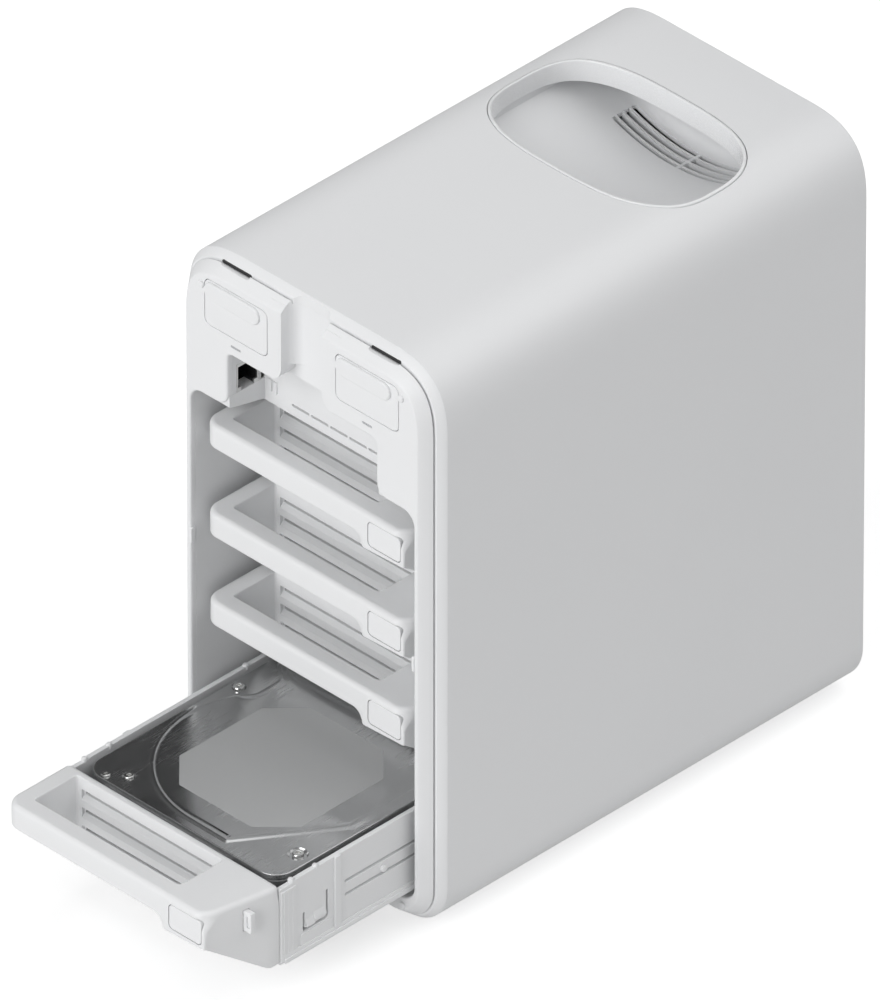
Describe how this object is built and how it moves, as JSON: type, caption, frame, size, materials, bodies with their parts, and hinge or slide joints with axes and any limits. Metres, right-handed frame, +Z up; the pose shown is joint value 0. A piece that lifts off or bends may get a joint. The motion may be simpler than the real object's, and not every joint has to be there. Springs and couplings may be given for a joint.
{
  "type": "network storage enclosure",
  "caption": "Upright desktop storage enclosure with slide-out drive trays, a port recess with small sliding doors, and a carry handle in its top.",
  "frame": {"origin": "on the table plane, under the middle of the body, centred between its side walls", "axes": "+Z up; -Y is the side where the drive trays and ports open; +X is to the right seen from there"},
  "size_m": [0.135, 0.33, 0.256],
  "materials": {
    "shell_plastic": "fine satin moulded plastic, pale grey white",
    "front_plastic": "satin white moulded plastic",
    "inner_plastic": "matt white moulded plastic",
    "port_metal": "plated steel shield",
    "steel": "zinc plated sheet steel",
    "spring_steel": "drawn spring wire",
    "circuit_board": "solder mask over glass fibre board",
    "black_plastic": "black glass filled plastic",
    "lens_glass": "gloss black cover lens",
    "light_pipe": "frosted clear acrylic",
    "rubber": "matt rubber",
    "drive_casting": "die-cast, as cast",
    "drive_lid": "brushed stainless sheet"
  },
  "bodies": {
    "enclosure": {"outer_shell": "shell_plastic", "shell_trim_ring": "front_plastic", "bay_frame": "front_plastic", "port_housing": "inner_plastic", "cage_left": "inner_plastic", "cage_right": "inner_plastic", "cage_top": "steel", "cage_floor": "steel", "cage_screws": "steel", "handle_bowl": "shell_plastic", "handle_trim_ring": "front_plastic", "handle_louvres": "shell_plastic", "rj45_jack": "port_metal", "usb_c_port": "port_metal", "status_light_pipes": "light_pipe", "cover_studs": "front_plastic", "backplane_board": "circuit_board", "sata_connectors": "black_plastic", "mainboard": "circuit_board", "heatsink": "steel", "m2_riser": "circuit_board", "m2_guide_rails": "inner_plastic", "fan_frame": "black_plastic", "fan_screws": "black_plastic", "far_panel": "front_plastic", "display_lens": "lens_glass", "rubber_foot": "rubber"},
    "fan_rotor": {"fan_rotor": "black_plastic"},
    "m2_left": {"m2_tray_left": "front_plastic", "m2_ssd_left": "circuit_board"},
    "m2_right": {"m2_tray_right": "front_plastic", "m2_ssd_right": "circuit_board"},
    "tray_1": {"tray_1_handle": "front_plastic", "tray_1_sled": "inner_plastic", "tray_1_spring": "spring_steel", "drive_1_body": "drive_casting", "drive_1_cover": "drive_lid"},
    "button_1": {"tray_1_button": "front_plastic"},
    "latch_1": {"tray_1_latch": "front_plastic"},
    "tray_2": {"tray_2_handle": "front_plastic", "tray_2_sled": "inner_plastic", "tray_2_spring": "spring_steel", "drive_2_body": "drive_casting", "drive_2_cover": "drive_lid"},
    "button_2": {"tray_2_button": "front_plastic"},
    "latch_2": {"tray_2_latch": "front_plastic"},
    "tray_3": {"tray_3_handle": "front_plastic", "tray_3_sled": "inner_plastic", "tray_3_spring": "spring_steel", "drive_3_body": "drive_casting", "drive_3_cover": "drive_lid"},
    "button_3": {"tray_3_button": "front_plastic"},
    "latch_3": {"tray_3_latch": "front_plastic"},
    "tray_4": {"tray_4_handle": "front_plastic", "tray_4_sled": "inner_plastic", "tray_4_spring": "spring_steel", "drive_4_body": "drive_casting", "drive_4_cover": "drive_lid"},
    "button_4": {"tray_4_button": "front_plastic"},
    "latch_4": {"tray_4_latch": "front_plastic"}
  },
  "joints": [
    {"name": "tray_1_slide", "type": "slide", "parent": "enclosure", "child": "tray_1", "axis": [0, -1, 0], "range_m": [0, 0.2]},
    {"name": "button_1_press", "type": "slide", "parent": "tray_1", "child": "button_1", "axis": [0, 1, 0], "range_m": [0, 0.0025], "stiffness_N_per_m": 500, "springref_m": -0.001, "deforming": ["tray_1_spring"]},
    {"name": "latch_1_slide", "type": "slide", "parent": "tray_1", "child": "latch_1", "axis": [-1, 0, 0], "range_m": [0, 0.00175]},
    {"name": "tray_2_slide", "type": "slide", "parent": "enclosure", "child": "tray_2", "axis": [0, -1, 0], "range_m": [0, 0.2]},
    {"name": "button_2_press", "type": "slide", "parent": "tray_2", "child": "button_2", "axis": [0, 1, 0], "range_m": [0, 0.0025], "stiffness_N_per_m": 500, "springref_m": -0.001, "deforming": ["tray_2_spring"]},
    {"name": "latch_2_slide", "type": "slide", "parent": "tray_2", "child": "latch_2", "axis": [-1, 0, 0], "range_m": [0, 0.00175]},
    {"name": "tray_3_slide", "type": "slide", "parent": "enclosure", "child": "tray_3", "axis": [0, -1, 0], "range_m": [0, 0.2]},
    {"name": "button_3_press", "type": "slide", "parent": "tray_3", "child": "button_3", "axis": [0, 1, 0], "range_m": [0, 0.0025], "stiffness_N_per_m": 500, "springref_m": -0.001, "deforming": ["tray_3_spring"]},
    {"name": "latch_3_slide", "type": "slide", "parent": "tray_3", "child": "latch_3", "axis": [-1, 0, 0], "range_m": [0, 0.00175]},
    {"name": "tray_4_slide", "type": "slide", "parent": "enclosure", "child": "tray_4", "axis": [0, -1, 0], "range_m": [-0.104, 0.096]},
    {"name": "button_4_press", "type": "slide", "parent": "tray_4", "child": "button_4", "axis": [0, 1, 0], "range_m": [0, 0.0025], "stiffness_N_per_m": 500, "springref_m": -0.001, "deforming": ["tray_4_spring"]},
    {"name": "latch_4_slide", "type": "slide", "parent": "tray_4", "child": "latch_4", "axis": [-1, 0, 0], "range_m": [0, 0.00175]},
    {"name": "m2_left_slide", "type": "slide", "parent": "enclosure", "child": "m2_left", "axis": [0, -1, 0], "range_m": [0, 0.09]},
    {"name": "m2_right_slide", "type": "slide", "parent": "enclosure", "child": "m2_right", "axis": [0, -1, 0], "range_m": [0, 0.09]},
    {"name": "fan_spin", "type": "hinge", "parent": "enclosure", "child": "fan_rotor", "pos_m": [0, 0.097, 0.105], "axis": [0, 1, 0], "continuous": true}
  ],
  "couplings": [
    {"joint": "latch_1_slide", "follows": "button_1_press", "ratio": 0.7},
    {"joint": "latch_2_slide", "follows": "button_2_press", "ratio": 0.7},
    {"joint": "latch_3_slide", "follows": "button_3_press", "ratio": 0.7},
    {"joint": "latch_4_slide", "follows": "button_4_press", "ratio": 0.7}
  ]
}
